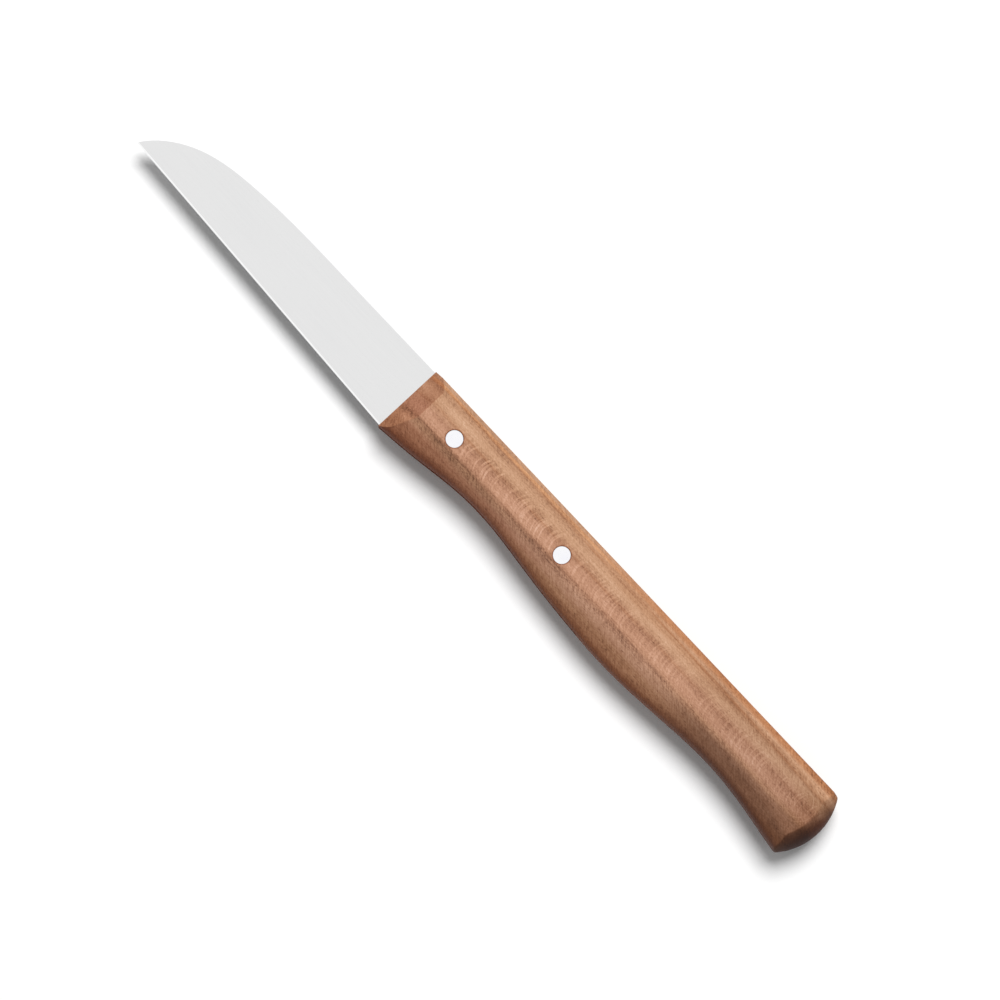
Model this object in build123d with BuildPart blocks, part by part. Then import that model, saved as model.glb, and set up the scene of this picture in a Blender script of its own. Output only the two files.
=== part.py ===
from build123d import *
from math import atan, degrees, radians, tan
import os

# Paring knife with a straight cutting edge, lying on its side.
#
# The blade and its half-length tang are one piece of steel. The tang sits in a kerf sawn into the front
# of a one-piece hardwood handle. Two aluminium rivets hold the two together: each fills its hole, swells
# a little towards both ends and is ground flush with the wood.
#
# Frame: millimetres, X along the knife with the tip at -X and the butt at +X, +Y towards the spine,
# +Z up. The knife lies on the flat of its handle, at Z = 0, and the origin is the middle of the box
# round the knife, on that surface. Places along the handle are measured from its front, and depths
# are measured down from its spine.

# Blade
blade_length = 71.9          # from the handle's front to the tip
heel_height = 14.55          # spine to edge at the handle
stock_thickness = 1.5        # sheet that the blade and tang are cut from
spine_thickness = 1.36       # back of the blade, after grinding
bevel_thickness = 0.24       # behind the sharpened bevel
edge_thickness = 0.06        # at the very edge
bevel_height = 0.4           # sharpened bevel, up the blade
tip_rise = 3.35              # the straight edge climbs this much from heel to tip
plunge_radius = 1.6          # corner of the grinding wheel, where the grind ends inside the handle
nose_start = 30.7            # the back is straight as far as this, from the handle
nose_shoulder_at, nose_shoulder_drop = 50.9, 0.86    # points on the falling back of the nose
nose_knee_at, nose_knee_drop = 62.2, 3.32
nose_slope = 1.72            # fall of the back at the tip

# Handle
handle_length = 113.3
handle_thickness = 12.0
waist_at, waist_depth = 24.5, 12.3       # hollow behind the blade
swell_share, swell_depth = 0.54, 14.15   # on the way from the hollow to the palm swell
bulge_from_butt, bulge_depth = 51.2, 15.1            # palm swell
neck_from_butt, neck_depth = 23.6, 13.35             # hollow in front of the butt
corner_from_butt, butt_depth = 2.9, 15.8             # lowest point of the flared butt
front_slope = -0.06          # slopes of the belly at its front, on the swell and at the butt
swell_slope = 0.085
butt_slope = 0.14
spine_flat = 7.7             # width of the flat along the spine
spine_facet_front, spine_facet_butt = 1.9, 3.0       # depth of the facet beside that flat
crease_front, crease_bulge = 9.0, 9.15   # depth of the crease between side and belly facet
crease_neck, crease_butt = 9.65, 14.0
crease_neck_slope, crease_butt_slope = 0.025, 0.5
belly_flat = 6.4             # width across the belly, before its corners are rounded
spine_rounding = 0.7
facet_rounding = 1.2
crease_rounding = 3.0
belly_rounding = 3.4
nose_thickness = 3.7         # thickness of the wood where it meets the blade
bevel_angle = 44.0           # slope of the two front bevels
dome_radius = 13.0           # butt, seen from the side
dome_cross_radius = 8.0      # butt, seen from the spine
dome_rise = 0.5              # crown of the dome, above the middle of the butt
butt_rounding = 0.5
front_steps, rear_steps = 8, 6           # from section to section, before and behind the palm swell
skim = 0.02                  # planed off each side, which leaves it truly flat

# Joint between blade and handle
tang_length = 54.1
spine_recess = 0.15          # the steel lies this far below the wood at the spine
belly_recess = 0.4           # and at the belly
tang_corner = 2.0
kerf_runout = 1.0            # the kerf reaches this far past the tang
kerf_fit = 0.03              # glue line on each side of the tang
saw_radius = 60.0            # the kerf ends in the arc of the saw
front_rivet_at, front_rivet_depth = 12.2, 6.57
rear_rivet_from_end, rear_rivet_depth = 11.9, 6.9    # from the end of the tang
rivet_diameter = 3.0
head_diameter = 3.5          # swelled ends of a rivet
head_depth = 1.0
head_edge = 0.08             # broken edge of a head
rivet_fit = 0.02             # radial, round shank and head

overrun = 5.0                # how far cutting tools reach past what they cut

# Places that follow from the sizes
x_tip = -(blade_length + handle_length) / 2
x_front = x_tip + blade_length
x_butt = x_front + handle_length
x_tang_end = x_front + tang_length
x_kerf_end = x_tang_end + kerf_runout
front_depth = heel_height + spine_recess + belly_recess
bulge_at = handle_length - bulge_from_butt
swell_at = waist_at + (bulge_at - waist_at) * swell_share
neck_at = handle_length - neck_from_butt
butt_at = handle_length - corner_from_butt
y_spine = butt_depth / 2
y_back = y_spine - spine_recess
y_heel = y_back - heel_height
z_middle = handle_thickness / 2
tang_plane = Plane.XY.offset(z_middle - stock_thickness / 2)
edge_slope = tip_rise / blade_length
front_place = (x_front + front_rivet_at, y_spine - front_rivet_depth)
rear_place = (x_tang_end - rear_rivet_from_end, y_spine - rear_rivet_depth)
tang_hollow_shares = (1 / 4, 1 / 2, 3 / 4)   # points of the tang's curved stretch, from heel to waist

belly_stations = (
    (0, front_depth, front_slope),
    (waist_at, waist_depth, 0),
    (swell_at, swell_depth, swell_slope),
    (bulge_at, bulge_depth, 0),
    (neck_at, neck_depth, 0),
    (butt_at, butt_depth, butt_slope),
    (handle_length, butt_depth + butt_slope * (handle_length - butt_at), butt_slope),
)
crease_stations = (
    (0, crease_front, 0),
    (bulge_at, crease_bulge, 0),
    (neck_at, crease_neck, crease_neck_slope),
    (handle_length, crease_butt, crease_butt_slope),
)
facet_stations = (
    (0, spine_facet_front, 0),
    (bulge_at, spine_facet_front, 0),
    (handle_length, spine_facet_butt, 0),
)


def depth_at(along, stations):
    """Depth below the spine of a smooth curve through stations of (distance along, depth, slope)."""
    for (start, first, first_slope), (end, last, last_slope) in zip(stations, stations[1:]):
        if along <= end:
            break
    span = end - start
    t = (along - start) / span
    rise = t * t * (3 - 2 * t)
    leave = t * (1 - t) ** 2
    arrive = t * t * (t - 1)
    return first + (last - first) * rise + span * (first_slope * leave + last_slope * arrive)


# Wheel cuts of the blade: two flat sides that leave a thin wedge, and two sharpened bevels. Both are
# drawn across the blade and run parallel to the straight edge. The sides are ground from just inside
# the kerf, so that the wheel's rounded corner doesn't show, and the bevels from the handle's front.
along_edge = (-blade_length, tip_rise, 0)
cut_reach = blade_length + overrun
heel_plane = Plane((x_front, y_heel, z_middle), x_dir=(0, 1, 0), z_dir=(-1, 0, 0))
grind_plane = heel_plane.offset(-plunge_radius)
grind_slope = (spine_thickness - bevel_thickness) / 2 / (heel_height - bevel_height)
bevel_slope = (bevel_thickness - edge_thickness) / 2 / bevel_height


def ground_half(height):
    """Half the thickness of the ground blade at a height above its edge."""
    return bevel_thickness / 2 + grind_slope * (height - bevel_height)


def bevel_half(height):
    """Half the thickness of the sharpened bevel at a height above the edge."""
    return edge_thickness / 2 + bevel_slope * height


with BuildPart() as side_grind:
    with BuildSketch(grind_plane):
        with Locations((-plunge_radius * edge_slope, 0)):
            with BuildLine():
                low, high = -bevel_height, heel_height + overrun
                Polyline(
                    (low, ground_half(low)),
                    (high, ground_half(high)),
                    (high, stock_thickness / 2 + overrun),
                    (low, stock_thickness / 2 + overrun),
                    close=True,
                )
            make_face()
        mirror(about=Plane.XZ)
    extrude(amount=cut_reach, dir=along_edge)
    # the wheel's rounded corner
    x_grind = x_front + plunge_radius
    start_edges = side_grind.edges().filter_by_position(Axis.X, x_grind, x_grind)
    inner_edges = start_edges.filter_by(lambda edge: abs(edge.center().Z - z_middle) < stock_thickness / 2)
    fillet(inner_edges, plunge_radius)

with BuildPart() as bevel_grind:
    with BuildSketch(heel_plane):
        with BuildLine():
            low, high = -bevel_height, bevel_height * 2
            Polyline((low, bevel_half(low)), (high, bevel_half(high)), (low, bevel_half(high)), close=True)
        make_face()
        mirror(about=Plane.XZ)
    extrude(amount=cut_reach, dir=along_edge)

# Blade and tang in one piece
with BuildPart() as blade:
    tip = (x_tip, y_heel + tip_rise)
    heel = (x_front, y_heel)
    nose_top = (x_front - nose_start, y_back)
    nose_shoulder = (x_front - nose_shoulder_at, y_back - nose_shoulder_drop)
    nose_knee = (x_front - nose_knee_at, y_back - nose_knee_drop)
    tang_top = (x_tang_end, y_back)
    tang_bottom = (x_tang_end, y_spine - waist_depth + belly_recess)
    tang_waist = (x_front + waist_at, y_spine - waist_depth + belly_recess)
    hollow = [
        (x_front + waist_at * share, y_spine - depth_at(waist_at * share, belly_stations) + belly_recess)
        for share in tang_hollow_shares
    ]
    with BuildSketch(tang_plane):
        with BuildLine():
            Line(tang_top, nose_top)
            Spline(nose_top, nose_shoulder, nose_knee, tip, tangents=[(-1, 0), (-1, -nose_slope)])
            Line(tip, heel)
            # the tang follows the belly as far as the waist, and then runs straight to its end
            Spline(heel, *hollow, tang_waist, tangents=[(1, -front_slope), (1, 0)])
            Polyline(tang_waist, tang_bottom, tang_top)
        make_face()
    extrude(amount=stock_thickness)
    fillet(blade.edges().filter_by(Axis.Z).group_by(Axis.X)[-1], tang_corner)
    add(side_grind.part, mode=Mode.SUBTRACT)
    add(bevel_grind.part, mode=Mode.SUBTRACT)
    with Locations(front_place, rear_place):
        Hole(rivet_diameter / 2 + rivet_fit)

# Handle
with BuildPart() as handle:
    front_stations = [bulge_at * step / front_steps for step in range(front_steps)]
    rear_stations = [bulge_at + bulge_from_butt * step / rear_steps for step in range(rear_steps + 1)]
    for along in front_stations + rear_stations:
        section_plane = Plane((x_front + along, y_spine, z_middle), x_dir=(0, 1, 0), z_dir=(1, 0, 0))
        with BuildSketch(section_plane):
            with BuildLine():
                side = handle_thickness / 2 + skim
                half = [
                    (0, spine_flat / 2),
                    (-depth_at(along, facet_stations), side),
                    (-depth_at(along, crease_stations), side),
                    (-depth_at(along, belly_stations), belly_flat / 2),
                ]
                other_half = [(depth, -height) for depth, height in reversed(half)]
                rounding = [spine_rounding, facet_rounding, crease_rounding, belly_rounding]
                FilletPolyline(*half, *other_half, radius=rounding + rounding[::-1], close=True)
            make_face()
    loft()
    # both sides are planed flat
    with BuildSketch(Plane.XY):
        with Locations((x_front + handle_length / 2, 0)):
            Rectangle(handle_length + overrun, butt_depth + overrun)
    extrude(amount=handle_thickness, mode=Mode.INTERSECT)
    # domed butt
    dome_plane = Plane((x_butt - dome_radius, dome_rise, z_middle), x_dir=(0, -1, 0), z_dir=(-1, 0, 0))
    with BuildSketch(dome_plane):
        with BuildLine():
            dome_half = handle_thickness / 2 + skim
            dome_back = dome_radius - dome_cross_radius + (dome_cross_radius**2 - dome_half**2) ** 0.5
            dome_arc = ThreePointArc((dome_back, -dome_half), (dome_radius, 0), (dome_back, dome_half))
            outside = dome_radius + overrun
            Polyline(dome_arc @ 1, (outside, dome_half), (outside, -dome_half), dome_arc @ 0)
        make_face()
    revolve(axis=Axis(dome_plane.origin, (0, 0, 1)), revolution_arc=180, mode=Mode.SUBTRACT)
    fillet(handle.faces().sort_by(Axis.X)[-1].edges(), butt_rounding)
    # a bevel on each side of the blade
    bevel_rise = tan(radians(bevel_angle))
    with BuildSketch(Plane((x_front, 0, z_middle), x_dir=(1, 0, 0), z_dir=(0, -1, 0))):
        with BuildLine():
            reach = handle_thickness
            Polyline(
                (-overrun, nose_thickness / 2 - overrun * bevel_rise),
                (reach, nose_thickness / 2 + reach * bevel_rise),
                (-overrun, nose_thickness / 2 + reach * bevel_rise),
                close=True,
            )
        make_face()
        mirror(about=Plane.XZ)
    extrude(amount=butt_depth, both=True, mode=Mode.SUBTRACT)
    # the saw kerf for the tang, open at the front, the spine and the belly
    with BuildSketch(tang_plane.offset(-kerf_fit)):
        with Locations((x_kerf_end - saw_radius, 0)):
            Circle(saw_radius)
    extrude(amount=stock_thickness + kerf_fit * 2, mode=Mode.SUBTRACT)
    # rivet holes, opened up towards each side for the heads
    head_angle = 2 * degrees(atan((head_diameter - rivet_diameter) / 2 / head_depth))
    for x, y in (front_place, rear_place):
        for height, outward in ((handle_thickness, 1), (0, -1)):
            with Locations(Plane((x, y, height), z_dir=(0, 0, outward))):
                CounterSinkHole(
                    rivet_diameter / 2 + rivet_fit,
                    head_diameter / 2 + rivet_fit,
                    counter_sink_angle=head_angle,
                )

# Rivets: solid pins that swell a little towards both ends
with BuildPart() as front_rivet:
    with BuildSketch(Plane((*front_place, 0), x_dir=(1, 0, 0), z_dir=(0, -1, 0))):
        with BuildLine():
            shank, head = rivet_diameter / 2, head_diameter / 2
            lower = [(0, 0), (head - head_edge, 0), (head, head_edge), (shank, head_depth)]
            upper = [(radius, handle_thickness - height) for radius, height in reversed(lower)]
            Polyline(*lower, *upper, close=True)
        make_face()
    revolve(axis=Axis((*front_place, 0), (0, 0, 1)))

with BuildPart() as rear_rivet:
    with Locations((rear_place[0] - front_place[0], rear_place[1] - front_place[1])):
        add(front_rivet.part)

os.makedirs("parts", exist_ok=True)
blade.part.label = "blade"
export_step(blade.part, "parts/blade.step")
handle.part.label = "handle"
export_step(handle.part, "parts/handle.step")
front_rivet.part.label = "front_rivet"
export_step(front_rivet.part, "parts/front_rivet.step")
rear_rivet.part.label = "rear_rivet"
export_step(rear_rivet.part, "parts/rear_rivet.step")
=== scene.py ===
from math import cos, radians, sin, tan

import bpy
from mathutils import Matrix, Vector


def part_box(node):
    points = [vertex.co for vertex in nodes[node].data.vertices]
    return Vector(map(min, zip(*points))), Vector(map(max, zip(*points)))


# Paring knife lying on the flat of its handle: straight-edged steel blade, oiled fruitwood handle and two
# aluminium rivets, ground flush. Metres. +X runs from tip to butt, +Y from edge to spine, +Z up.
# The finishes measure in millimetres: along the knife from the handle's front, down from the spine, and
# up from the plane of the blade.

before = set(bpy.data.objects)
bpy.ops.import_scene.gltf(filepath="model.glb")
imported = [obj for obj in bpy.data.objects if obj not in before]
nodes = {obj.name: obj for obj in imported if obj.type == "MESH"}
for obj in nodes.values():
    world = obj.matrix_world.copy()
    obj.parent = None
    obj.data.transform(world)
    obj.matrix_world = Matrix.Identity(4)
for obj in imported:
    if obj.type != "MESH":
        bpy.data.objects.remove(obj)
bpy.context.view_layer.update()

MM = 0.001

blade_low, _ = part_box("blade")
handle_low, handle_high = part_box("handle")
rivet_boxes = [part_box("front_rivet"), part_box("rear_rivet")]
handle_length = (handle_high.x - handle_low.x) / MM
heel_depth = (handle_high.y - blade_low.y) / MM
blade_plane = (handle_high.z + handle_low.z) / 2

# Shapes that the finishes follow, as the solids have them, in millimetres
nose_thickness = 3.7         # thickness of the wood where it meets the blade
bevel_angle = 44.0           # slope of the two front bevels, in degrees
dome_radius = 13.0           # butt, seen from the side
dome_cross_radius = 8.0      # butt, seen from the spine
dome_centre_depth = 7.4      # crown of the butt, below the spine
blade_length = 71.9
tip_rise = 3.35              # the straight edge climbs this much from heel to tip
bevel_height = 0.4           # sharpened bevel, up the blade
rivet_radius = 1.75

# Camera: the photograph looks down on the knife, leaning a little, with the knife on the diagonal
camera_distance = 1.0
camera_lean = 7.0            # degrees from straight down
camera_reach = (0.01, 10.0)  # nearest and farthest that it sees
knife_turn = 46.86           # degrees that the knife is turned clockwise in the picture
picture_width = 190 * MM     # what the picture spans at the knife
sensor_width = 36 * MM
aim_along_share = 0.2299     # middle of the picture, as a share of the handle's length from its front
aim_above_middle = 0.16 * MM
aim_point = Vector((
    handle_low.x + (handle_high.x - handle_low.x) * aim_along_share,
    aim_above_middle,
    blade_plane,
))

# Light: a soft lamp on the spine's side, in a pale room with a white table
key_height = 67.0            # degrees above the table
key_swing = 112.0            # degrees from the butt's side towards the spine's
key_distance = 1.6
key_size = 0.84
key_strength = 22.9
room_strength = 0.33         # what the room adds to the lamp
table_bounce = 0.4           # light that the table throws back at the knife
table_size = 4.0


def add_camera():
    """Camera over the knife, aimed at a point a little behind the handle's front."""
    turn, lean = radians(knife_turn), radians(camera_lean)
    right = Vector((cos(turn), sin(turn), 0))
    table_up = Vector((-sin(turn), cos(turn), 0))
    back = Vector((0, 0, cos(lean))) - table_up * sin(lean)
    up = back.cross(right)
    camera = bpy.data.objects.new("camera", bpy.data.cameras.new("camera"))
    bpy.context.scene.collection.objects.link(camera)
    camera.matrix_world = Matrix((right, up, back)).transposed().to_4x4()
    camera.matrix_world.translation = aim_point + back * camera_distance
    camera.data.sensor_width = sensor_width / MM
    camera.data.lens = sensor_width / MM * camera_distance / picture_width
    camera.data.clip_start, camera.data.clip_end = camera_reach
    bpy.context.scene.camera = camera


def add_key_lamp():
    """Round soft lamp on the spine's side. The metal mirrors the white room and not the lamp."""
    height, swing = radians(key_height), radians(key_swing)
    direction = Vector((cos(height) * cos(swing), cos(height) * sin(swing), sin(height)))
    lamp = bpy.data.objects.new("key_lamp", bpy.data.lights.new("key_lamp", "AREA"))
    bpy.context.scene.collection.objects.link(lamp)
    lamp.location = aim_point + direction * key_distance
    lamp.rotation_euler = direction.to_track_quat("Z", "Y").to_euler()
    lamp.data.shape = "DISK"
    lamp.data.size = key_size
    lamp.data.energy = key_strength
    lamp.visible_glossy = False


def add_room():
    """White room: it looks white, also in the metal, and lights the knife only a little."""
    world = bpy.data.worlds.new("room")
    bpy.context.scene.world = world
    world.use_nodes = True
    tree = world.node_tree
    background = tree.nodes["Background"]
    background.inputs["Color"].default_value = (1, 1, 1, 1)
    feed(tree, background.inputs["Strength"], fade(tree, looked_at(tree), 0, 1, room_strength, 1))


def add_floor():
    """White table, which throws less light at the knife than it shows to the camera."""
    bpy.ops.mesh.primitive_plane_add(size=table_size)
    floor = bpy.context.object
    floor.name = "floor"
    material, tree, shader = new_finish("white_table")
    white = fade(tree, looked_at(tree), 0, 1, table_bounce, 1)
    feed(tree, shader.inputs["Base Color"], join(tree, white, white, white))
    shader.inputs["Roughness"].default_value = 1
    shader.inputs["Specular IOR Level"].default_value = 0
    floor.data.materials.append(material)


def looked_at(tree):
    """1 for what the camera sees, also in metal, and 0 for light on its way to the knife."""
    ray = tree.nodes.new("ShaderNodeLightPath").outputs
    seen = work_out(tree, "MAXIMUM", ray["Is Camera Ray"], ray["Is Glossy Ray"])
    seen = work_out(tree, "MAXIMUM", seen, ray["Is Transmission Ray"])
    return times(tree, seen, work_out(tree, "LESS_THAN", ray["Diffuse Depth"], 0.5))


# Steps that every finish is made of


def new_finish(name):
    """Material, with its node tree and its shader."""
    material = bpy.data.materials.new(name)
    material.use_nodes = True
    return material, material.node_tree, material.node_tree.nodes["Principled BSDF"]


def feed(tree, socket, value):
    """Link an output to an input, or set the input to a constant."""
    if isinstance(value, bpy.types.NodeSocket):
        tree.links.new(value, socket)
    else:
        socket.default_value = value


def paint(*red_green_blue):
    """Colour from the values that a picture shows, 255 for white. All are above 10."""
    return (*[((value / 255 + 0.055) / 1.055) ** 2.4 for value in red_green_blue], 1)


def work_out(tree, operation, *values):
    """Result of one step of arithmetic."""
    node = tree.nodes.new("ShaderNodeMath")
    node.operation = operation
    for socket, value in zip(node.inputs, values):
        feed(tree, socket, value)
    return node.outputs[0]


def times(tree, *factors):
    """Product of all the factors."""
    product = factors[0]
    for factor in factors[1:]:
        product = work_out(tree, "MULTIPLY", product, factor)
    return product


def all_but(tree, share):
    """What a share leaves of the whole."""
    return work_out(tree, "SUBTRACT", 1.0, share)


def distance(tree, across, above):
    """How far off a point is that lies this far across and this far above."""
    squares = work_out(tree, "MULTIPLY_ADD", across, across, times(tree, above, above))
    return work_out(tree, "SQRT", squares)


def fade(tree, value, start, end, at_start=0.0, at_end=1.0):
    """Smooth step between two amounts while the value goes from start to end."""
    node = tree.nodes.new("ShaderNodeMapRange")
    node.interpolation_type = "SMOOTHSTEP"
    for name, amount in {
        "Value": value, "From Min": start, "From Max": end, "To Min": at_start, "To Max": at_end,
    }.items():
        feed(tree, node.inputs[name], amount)
    return node.outputs["Result"]


def stripe(tree, value, start, full, still_full, end):
    """Band with soft sides: it sets in from start to full and runs out from still_full to end."""
    return times(tree, fade(tree, value, start, full), fade(tree, value, still_full, end, 1, 0))


def place_on_knife(tree):
    """Millimetres along from the handle's front, down from its spine and up from the blade's plane."""
    mapping = tree.nodes.new("ShaderNodeMapping")
    feed(tree, mapping.inputs["Vector"], tree.nodes.new("ShaderNodeTexCoord").outputs["Object"])
    mapping.inputs["Scale"].default_value = (1 / MM, -1 / MM, 1 / MM)
    mapping.inputs["Location"].default_value = (-handle_low.x / MM, handle_high.y / MM, -blade_plane / MM)
    return mapping.outputs["Vector"]


def split(tree, place):
    """How far along, how deep and how high a place is."""
    node = tree.nodes.new("ShaderNodeSeparateXYZ")
    feed(tree, node.inputs[0], place)
    return node.outputs


def join(tree, *parts):
    """Place or colour with the given three parts."""
    node = tree.nodes.new("ShaderNodeCombineXYZ")
    for socket, part in zip(node.inputs, parts):
        feed(tree, socket, part)
    return node.outputs[0]


def speckle(tree, place, grain, detail=2.0, roughness=0.5):
    """Noise with grains of about the given length along each axis, in millimetres."""
    stretched = tree.nodes.new("ShaderNodeVectorMath")
    stretched.operation = "DIVIDE"
    feed(tree, stretched.inputs[0], place)
    stretched.inputs[1].default_value = grain
    noise = tree.nodes.new("ShaderNodeTexNoise")
    feed(tree, noise.inputs["Vector"], stretched.outputs[0])
    for name, amount in {"Scale": 1.0, "Detail": detail, "Roughness": roughness}.items():
        noise.inputs[name].default_value = amount
    return noise.outputs[0]


def shades(tree, value, *stops):
    """Colours that follow a value, from (value, colour) stops."""
    node = tree.nodes.new("ShaderNodeValToRGB")
    elements = node.color_ramp.elements
    while len(elements) < len(stops):
        elements.new(0.5)
    for element, (at, colour) in zip(elements, stops):
        element.position = at
        element.color = colour
    feed(tree, node.inputs["Fac"], value)
    return node.outputs["Color"]


def lay_over(tree, share, under, over, mode="MIX"):
    """One colour over another, as far as the share says."""
    node = tree.nodes.new("ShaderNodeMix")
    node.data_type = "RGBA"
    node.blend_type = mode
    feed(tree, node.inputs["Factor"], share)
    colours = [socket for socket in node.inputs if socket.type == "RGBA"]
    feed(tree, colours[0], under)
    feed(tree, colours[1], over)
    return next(socket for socket in node.outputs if socket.type == "RGBA")


def tinted(tree, colour, tints):
    """Colour under a number of (share, tint) pairs. A tint above 255 makes it paler, one below darker."""
    for share, tint in tints:
        colour = lay_over(tree, share, colour, tint, "MULTIPLY")
    return colour


def relief(tree, height, depth, normal=None):
    """Bumps of a depth in millimetres."""
    node = tree.nodes.new("ShaderNodeBump")
    node.inputs["Distance"].default_value = depth * MM
    feed(tree, node.inputs["Height"], height)
    if normal is not None:
        feed(tree, node.inputs["Normal"], normal)
    return node.outputs["Normal"]


# Oiled fruitwood. Lengths are in millimetres.

ring_spacing = 3.85          # between two growth lines, at the handle's front
ring_closing = 0.0065        # the lines draw together by this much per millimetre
ring_start = 1.55            # depth of the first growth line below the spine, at the front
ring_slope = 0.0185          # it sinks by this much per millimetre
ring_bend = 0.012            # how fast the lines curve across the thickness
ring_wander = 0.8            # how far the lines wander
line_strength = 0.52         # how much of the growth lines' tint shows
curl_spacing = 0.5           # ripples across the grain
curl_middle = 6.1            # depth at which the ripples bend back
curl_turn = 3.0              # how gently they bend there
dome_rings_ahead = 6.8       # middle of the rings on the butt, ahead of its end
dome_rings_depth = 6.4       # and below the spine
stain_width = 0.3            # dark rim round a rivet
oil_gloss = 0.15             # specular level
wood_dullness = 0.48         # roughness, to which fibres and end grain add
fibre_dullness = 0.16
end_dullness = 0.12


def growth(tree, place):
    """Years of growth that a point lies from the first growth line, counted down from the spine."""
    along, depth, height = split(tree, place)
    wander = speckle(tree, place, (36, 9, 9))
    wander = work_out(tree, "MULTIPLY_ADD", wander, ring_wander, -ring_wander / 2 - ring_start)
    bend = times(tree, height, height, ring_bend)
    below_line = work_out(tree, "ADD", work_out(tree, "ADD", depth, wander), bend)
    below_line = work_out(tree, "MULTIPLY_ADD", along, -ring_slope, below_line)
    spacing = work_out(tree, "MULTIPLY_ADD", along, -ring_closing, ring_spacing)
    return work_out(tree, "DIVIDE", below_line, spacing)


def growth_line(tree, place, year):
    """Share of the broken dark line at the end of each year's wood."""
    along, depth, _ = split(tree, place)
    line = work_out(tree, "MAXIMUM", fade(tree, year, 0.78, 0.96), fade(tree, year, 0.0, 0.07, 1, 0))
    dashes = fade(tree, speckle(tree, place, (5, 0.5, 0.8), detail=3), 0.35, 0.6, 0.25, 1)
    near_spine = fade(tree, depth, 0.5, 1.8, 0.3, 1)
    second_line = fade(tree, depth, 2.2, 3.4, 1, 0.75)
    low_down = fade(tree, depth, 6.8, 7.8, 1, 0.25)
    towards_butt = times(tree, fade(tree, depth, 3, 4), fade(tree, along, 62, 84, 0, 0.6))
    return times(tree, line, dashes, near_spine, second_line, low_down, all_but(tree, towards_butt))


def crease_shade(tree, place):
    """Broad darker band above the crease, which runs out towards the butt: painted shade where the softened
    crease turns away from the light, drawn as a band of late wood.
    """
    along, depth, _ = split(tree, place)
    fray = speckle(tree, place, (2.5, 0.5, 0.8), detail=3)
    ragged = work_out(tree, "MULTIPLY_ADD", fray, 0.9, depth)
    return times(tree, stripe(tree, ragged, 8.5, 9.3, 9.7, 10.8), fade(tree, along, 58, 84, 1, 0))


def pale_band(tree, place):
    """Pale early wood: below the first growth line in the front half, and above it behind."""
    along, depth, _ = split(tree, place)
    front = times(tree, stripe(tree, depth, 2.0, 3.0, 3.6, 4.3), fade(tree, along, 44, 66, 1, 0.3))
    rear = times(tree, stripe(tree, depth, 0.8, 1.2, 1.6, 2.1), fade(tree, along, 66, 76, 0, 0.3))
    return work_out(tree, "MAXIMUM", front, rear)


def amber_band(tree, place):
    """Share of the warmer wood along the spine, which sinks a little towards the butt."""
    along, depth, _ = split(tree, place)
    front = times(tree, stripe(tree, depth, 0.6, 0.9, 1.3, 1.8), fade(tree, along, 66, 76, 0.4, 0))
    rear = times(tree, stripe(tree, depth, 1.6, 2.2, 2.8, 3.7), fade(tree, along, 44, 58, 0, 0.4))
    return work_out(tree, "MAXIMUM", front, rear)


def curl(tree, place):
    """Light ripples across the grain, bowed towards the tip, strongest along the middle of the sides."""
    along, depth, height = split(tree, place)
    off_middle = work_out(tree, "SUBTRACT", depth, curl_middle)
    bowed = work_out(tree, "SUBTRACT", along, distance(tree, off_middle, curl_turn))
    ripples = speckle(tree, join(tree, bowed, depth, height), (curl_spacing, 9, 5), detail=1)
    patches = speckle(tree, place, (6, 7, 8), detail=1)
    return times(
        tree,
        fade(tree, ripples, 0.48, 0.66),
        fade(tree, patches, 0.3, 0.55, 0.45, 1),
        fade(tree, depth, 3.4, 5.2),
        fade(tree, depth, 7.4, 9.0, 1, 0.2),
        fade(tree, along, 12, 18, 0.2, 1),
        fade(tree, along, 34, 44, 1, 0.55),
    )


def cross_figure(tree, place):
    """Fine slanting strokes, falling towards the butt, clearest on the belly facet and at the butt."""
    along, depth, height = split(tree, place)
    across = work_out(tree, "SUBTRACT", along, depth)
    down = work_out(tree, "ADD", along, depth)
    strokes = speckle(tree, join(tree, across, down, height), (0.33, 2.6, 1.2), roughness=0.6)
    low, high = fade(tree, depth, 7.5, 9.5, 0.55, 0.95), fade(tree, depth, 1, 4, 0.7, 0)
    strength = work_out(tree, "MAXIMUM", low, high)
    strength = work_out(tree, "MAXIMUM", strength, fade(tree, along, 75, 92, 0, 0.95))
    return times(tree, work_out(tree, "SUBTRACT", strokes, 0.5), strength)


def dome_rings(tree, place):
    """Fine light rings where the sanded corner of the butt cuts through the growth."""
    along, depth, height = split(tree, place)
    behind = work_out(tree, "SUBTRACT", along, handle_length - dome_rings_ahead)
    below = work_out(tree, "SUBTRACT", depth, dome_rings_depth)
    out = distance(tree, behind, below)
    rings = speckle(tree, join(tree, out, times(tree, depth, 0.1), height), (0.32, 1, 9), detail=1)
    return times(
        tree,
        fade(tree, rings, 0.48, 0.68),
        stripe(tree, out, 1.0, 2.0, 3.8, 5.4),
        fade(tree, behind, -0.5, 1.5),
    )


def end_grain(tree, place):
    """Share of end grain on the two front bevels and on the front face between them."""
    along, _, height = split(tree, place)
    side = work_out(tree, "ABSOLUTE", height)
    bevel = work_out(tree, "MULTIPLY_ADD", along, tan(radians(bevel_angle)), nose_thickness / 2)
    on_bevel = fade(tree, work_out(tree, "SUBTRACT", side, bevel), -0.14, -0.04)
    return work_out(tree, "MAXIMUM", on_bevel, fade(tree, along, 0.01, 0.05, 1, 0))


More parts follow.
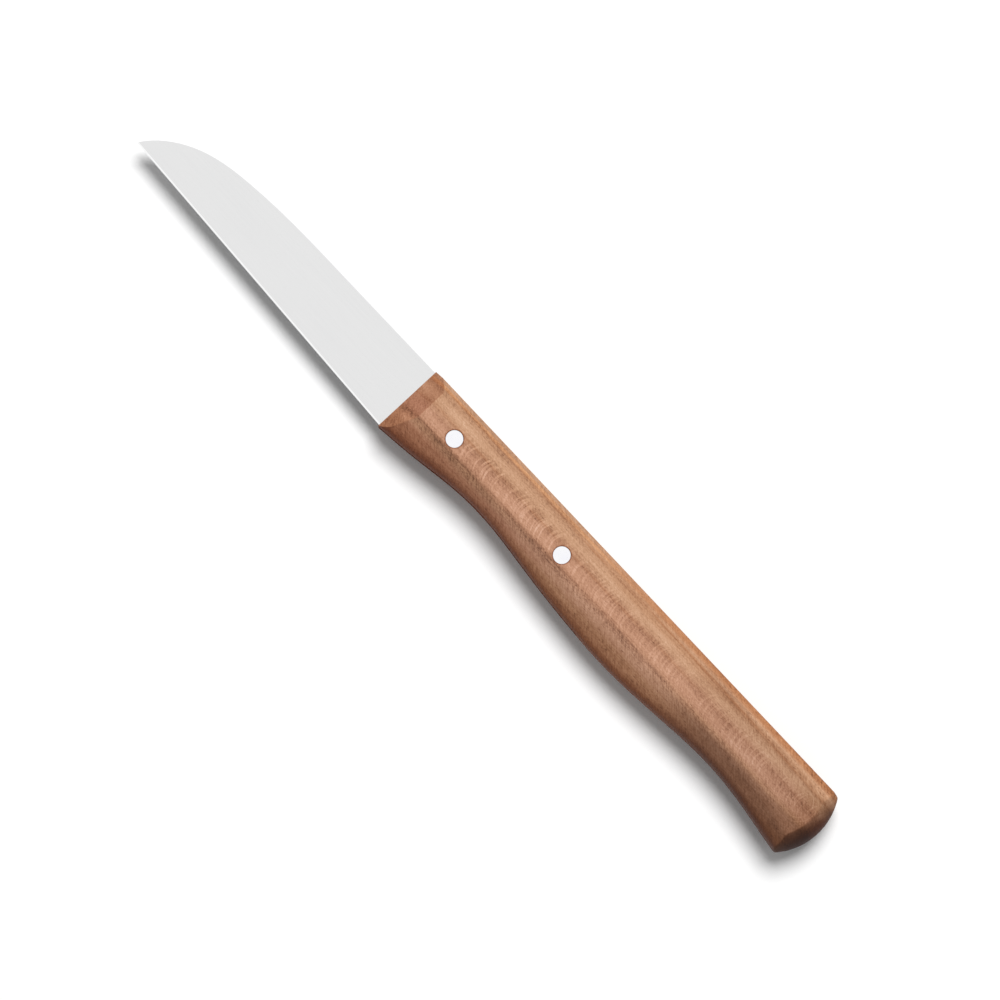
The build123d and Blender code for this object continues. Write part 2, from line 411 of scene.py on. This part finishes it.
def dome_skin(tree, place):
    """Share of the domed face of the butt: 1 on it, and 0 from 0.3 mm inside the wood."""
    along, depth, height = split(tree, place)
    ahead = work_out(tree, "MAXIMUM", work_out(tree, "SUBTRACT", along, handle_length - dome_radius), 0)
    below = work_out(tree, "SUBTRACT", depth, dome_centre_depth)
    falling = work_out(tree, "SUBTRACT", dome_cross_radius**2, times(tree, height, height))
    profile = work_out(tree, "SQRT", work_out(tree, "MAXIMUM", falling, 0))
    profile = work_out(tree, "ADD", profile, dome_radius - dome_cross_radius)
    outside = work_out(tree, "SUBTRACT", distance(tree, ahead, below), profile)
    return fade(tree, outside, -0.3, -0.02)


def rivet_stain(tree, place):
    """Dark rim in the wood round each rivet."""
    along, depth, _ = split(tree, place)
    stain = 0.0
    for low, high in rivet_boxes:
        rivet_along = ((low.x + high.x) / 2 - handle_low.x) / MM
        rivet_depth = (handle_high.y - (low.y + high.y) / 2) / MM
        across = work_out(tree, "SUBTRACT", along, rivet_along)
        above = work_out(tree, "SUBTRACT", depth, rivet_depth)
        off_middle = distance(tree, across, above)
        rim = fade(tree, off_middle, rivet_radius, rivet_radius + stain_width, 1, 0)
        stain = work_out(tree, "MAXIMUM", stain, rim)
    return stain


def bare_wood(tree, place, year, fibres, pores):
    """The wood's colour from all that makes its grain lighter or darker."""
    off_line = work_out(tree, "ABSOLUTE", work_out(tree, "SUBTRACT", year, 0.5))
    tone = 0.5
    for part, middle, weight in (
        (fibres, 0.5, 0.45),
        (speckle(tree, place, (0.6, 0.35, 0.4), roughness=0.6), 0.5, 0.5),
        (speckle(tree, place, (0.3, 0.2, 0.25), detail=1), 0.5, 0.35),
        (speckle(tree, place, (14, 3.5, 4)), 0.5, 0.5),
        (cross_figure(tree, place), 0.0, 0.8),
        (off_line, 0.25, -0.3),
        # painted shade above the crease
        (crease_shade(tree, place), 0.0, -0.17),
        (pale_band(tree, place), 0.0, 0.1),
        (pores, 0.0, -0.3),
        (curl(tree, place), 0.08, 0.33),
        (dome_rings(tree, place), 0.0, 0.22),
    ):
        tone = work_out(tree, "ADD", tone, work_out(tree, "MULTIPLY_ADD", part, weight, -middle * weight))
    return shades(
        tree,
        tone,
        (0.0, paint(106, 72, 53)),
        (0.3, paint(162, 119, 91)),
        (0.5, paint(186, 142, 111)),
        (0.7, paint(202, 159, 128)),
        (1.0, paint(224, 187, 158)),
    )


def growth_tints(tree, place, year):
    """Tints of the growth lines, the middle of the sides and the strip along the spine."""
    along, depth, _ = split(tree, place)
    lines = times(tree, growth_line(tree, place, year), line_strength)
    rosy_middle = times(tree, fade(tree, depth, 4, 6.5), fade(tree, depth, 8, 9.5, 1, 0.2))
    warm_spine = times(tree, fade(tree, depth, 0.6, 1.9, 1, 0), fade(tree, along, 36, 70))
    pale_spine = times(tree, stripe(tree, depth, 0.65, 0.95, 1.1, 1.75), fade(tree, along, 34, 66, 1, 0))
    return [
        (lines, paint(228, 204, 182)),
        (rosy_middle, paint(252, 246, 252)),
        (amber_band(tree, place), paint(238, 222, 205)),
        (warm_spine, paint(251, 226, 201)),
        (pale_spine, paint(288, 284, 270)),
    ]


def rear_tints(tree, place, dome):
    """Tints behind the palm swell, down to the rim of the flare: painted shade, and a little darker wood
    towards the butt.
    """
    along, depth, _ = split(tree, place)
    # darker towards the butt: partly darker wood, partly painted shade
    rear_wood_and_shade = times(
        tree,
        fade(tree, along, 72, 94),
        fade(tree, depth, 1.8, 2.8),
        fade(tree, depth, 9, 12, 1, 0.35),
    )
    # painted shade in front of the butt's dome
    before_dome_shade = times(tree, fade(tree, along, 103, 109), stripe(tree, depth, 2.4, 3.4, 9.0, 11.5))
    # painted shade on the belly facet of the neck
    low_neck_shade = times(tree, fade(tree, along, 70, 88), fade(tree, depth, 8.8, 10.2))
    # painted shade along the low rim of the flare
    flare_rim_shade = times(tree, fade(tree, along, 84, 100), fade(tree, depth, 12.3, 14.3), all_but(tree, dome))
    return [
        (rear_wood_and_shade, paint(237, 236, 236)),
        (before_dome_shade, paint(226, 218, 210)),
        (low_neck_shade, paint(212, 206, 208)),
        (flare_rim_shade, paint(226, 214, 200)),
    ]


def belly_tints(tree, place, end, cut_across):
    """Tints of the belly: painted shade over the belly side, deepest along its rounded keel, less on the
    palm swell, and a redder waist.
    """
    along, depth, height = split(tree, place)
    side = work_out(tree, "ABSOLUTE", height)
    # painted shade over the whole belly side
    belly = fade(tree, depth, 9.0, 11.5)
    # painted shade on the rounded belly, not on the cut ends
    roll_shade = times(tree, fade(tree, side, 2.8, 4.5, 1, 0), fade(tree, depth, 8, 10), all_but(tree, cut_across))
    # more painted shade along the keel
    keel = times(tree, roll_shade, fade(tree, side, 1.2, 3.2, 1, 0))
    # painted light that takes part of the shade back off the palm swell's belly facet, with a cooler tone
    swell_light_and_tone = times(tree, stripe(tree, depth, 8.2, 9.6, 10.8, 12.2), stripe(tree, along, 20, 42, 66, 84))
    waist = times(tree, fade(tree, depth, 9.2, 11), fade(tree, along, 26, 46, 1, 0), all_but(tree, end))
    return [
        (belly, paint(215, 205, 197)),
        (roll_shade, paint(222, 190, 168)),
        (keel, paint(220, 194, 166)),
        (swell_light_and_tone, paint(270, 273, 284)),
        (waist, paint(248, 234, 234)),
    ]


def cut_tints(tree, place, end, dome):
    """Tints of the wood that is cut across the grain, the front bevels and the domed butt: the end grain's
    own colour, painted shade over the low part and the end of the butt, and painted light on the low part of
    the bevels.
    """
    along, depth, _ = split(tree, place)
    # painted light on the lower part of the bevels, which takes back the belly's painted shade there
    low_bevel = times(tree, end, fade(tree, depth, 7.5, 10.5))
    # painted shade on the low part of the dome
    low_dome_shade = times(tree, dome, fade(tree, depth, 5, 10, 0, 0.9))
    # partly the butt's darker end grain, partly painted shade over its end
    slanting = work_out(tree, "MULTIPLY_ADD", depth, 0.12, along)
    butt_end_and_shade = fade(tree, slanting, handle_length - 2.8, handle_length + 0.3)
    return [
        (end, paint(239, 222, 216)),
        (low_bevel, paint(286, 292, 296)),
        (low_dome_shade, paint(186, 174, 168)),
        (butt_end_and_shade, paint(136, 101, 78)),
    ]


def oiled_fruitwood():
    """Finish of the handle: the grain, what wear did to it, and the end grain."""
    material, tree, shader = new_finish("oiled_fruitwood")
    place = place_on_knife(tree)
    year = work_out(tree, "FRACT", growth(tree, place))
    fibres = speckle(tree, place, (9, 0.3, 0.3), detail=3, roughness=0.6)
    pores = fade(tree, speckle(tree, place, (0.9, 0.17, 0.2), detail=1), 0.66, 0.76)
    end, dome = end_grain(tree, place), dome_skin(tree, place)
    cut_across = work_out(tree, "MAXIMUM", end, dome)

    wood = bare_wood(tree, place, year, fibres, pores)
    wood = tinted(tree, wood, growth_tints(tree, place, year))
    wood = tinted(tree, wood, rear_tints(tree, place, dome))
    wood = tinted(tree, wood, belly_tints(tree, place, end, cut_across))
    wood = tinted(tree, wood, cut_tints(tree, place, end, dome))
    wood = tinted(tree, wood, [(rivet_stain(tree, place), paint(216, 192, 182))])
    feed(tree, shader.inputs["Base Color"], wood)

    dull = work_out(tree, "MULTIPLY_ADD", fibres, fibre_dullness, wood_dullness)
    dull = work_out(tree, "MULTIPLY_ADD", cut_across, end_dullness, dull)
    feed(tree, shader.inputs["Roughness"], dull)
    shader.inputs["Specular IOR Level"].default_value = oil_gloss
    grain = speckle(tree, place, (5, 0.12, 0.12), detail=3, roughness=0.7)
    normal = relief(tree, grain, depth=0.012)
    normal = relief(tree, all_but(tree, pores), depth=0.02, normal=normal)
    feed(tree, shader.inputs["Normal"], normal)
    return material


# Steel and aluminium

steel_dullness = 0.14        # roughness, to which the strokes and the honed strip add
stroke_dullness = 0.08
honed_dullness = 0.15
aluminium_dullness = 0.16    # roughness, to which the scratches add
scratch_dullness = 0.12


def ground_steel():
    """Finish of the blade: fine lengthwise strokes, and a rougher sharpened strip along the edge, painted
    paler as a glint.
    """
    material, tree, shader = new_finish("ground_steel")
    place = place_on_knife(tree)
    along, depth, _ = split(tree, place)
    strokes = speckle(tree, place, (14, 0.07, 0.3), detail=3, roughness=0.65)
    clouds = speckle(tree, place, (18, 7, 2))

    edge = work_out(tree, "MULTIPLY_ADD", along, tip_rise / blade_length, heel_depth)
    above_edge = work_out(tree, "SUBTRACT", edge, depth)
    honed_and_glint = times(
        tree,
        fade(tree, above_edge, bevel_height - 0.12, bevel_height - 0.02, 1, 0),
        fade(tree, along, 0, 0.1, 1, 0),
    )

    shine = work_out(tree, "MULTIPLY_ADD", work_out(tree, "SUBTRACT", strokes, 0.5), 0.4, 0.5)
    shine = work_out(tree, "MULTIPLY_ADD", work_out(tree, "SUBTRACT", clouds, 0.5), 0.12, shine)
    steel = shades(
        tree,
        shine,
        (0.2, paint(222, 222, 224)),
        (0.5, paint(230, 230, 230)),
        (0.8, paint(236, 236, 236)),
    )
    # painted glint: the sharpened strip along the edge is painted paler than the steel
    steel = lay_over(tree, honed_and_glint, steel, paint(250, 250, 250))
    feed(tree, shader.inputs["Base Color"], steel)
    shader.inputs["Metallic"].default_value = 1
    dull = work_out(tree, "MULTIPLY_ADD", strokes, stroke_dullness, steel_dullness)
    dull = work_out(tree, "MULTIPLY_ADD", honed_and_glint, honed_dullness, dull)
    feed(tree, shader.inputs["Roughness"], dull)
    feed(tree, shader.inputs["Normal"], relief(tree, strokes, depth=0.003))
    return material


def ground_aluminium():
    """Finish of the rivets: bright, with the scratches of the sanding that made them flush."""
    material, tree, shader = new_finish("ground_aluminium")
    place = place_on_knife(tree)
    scratches = speckle(tree, place, (3, 0.05, 0.5), detail=3, roughness=0.7)
    clouds = speckle(tree, place, (1.6, 1.6, 1.6), detail=1)
    shine = work_out(tree, "MULTIPLY_ADD", work_out(tree, "SUBTRACT", clouds, 0.5), 0.6, scratches)
    aluminium = shades(tree, shine, (0.2, paint(244, 244, 250)), (0.8, paint(251, 251, 251)))
    feed(tree, shader.inputs["Base Color"], aluminium)
    shader.inputs["Metallic"].default_value = 1
    dull = work_out(tree, "MULTIPLY_ADD", scratches, scratch_dullness, aluminium_dullness)
    feed(tree, shader.inputs["Roughness"], dull)
    feed(tree, shader.inputs["Normal"], relief(tree, scratches, depth=0.002))
    return material


add_camera()
add_key_lamp()
add_room()
add_floor()
steel, wood, aluminium = ground_steel(), oiled_fruitwood(), ground_aluminium()
finishes = {"blade": steel, "handle": wood, "front_rivet": aluminium, "rear_rivet": aluminium}
for name, finish in finishes.items():
    nodes[name].material_slots[0].material = finish

bpy.context.scene.view_settings.view_transform = "Standard"
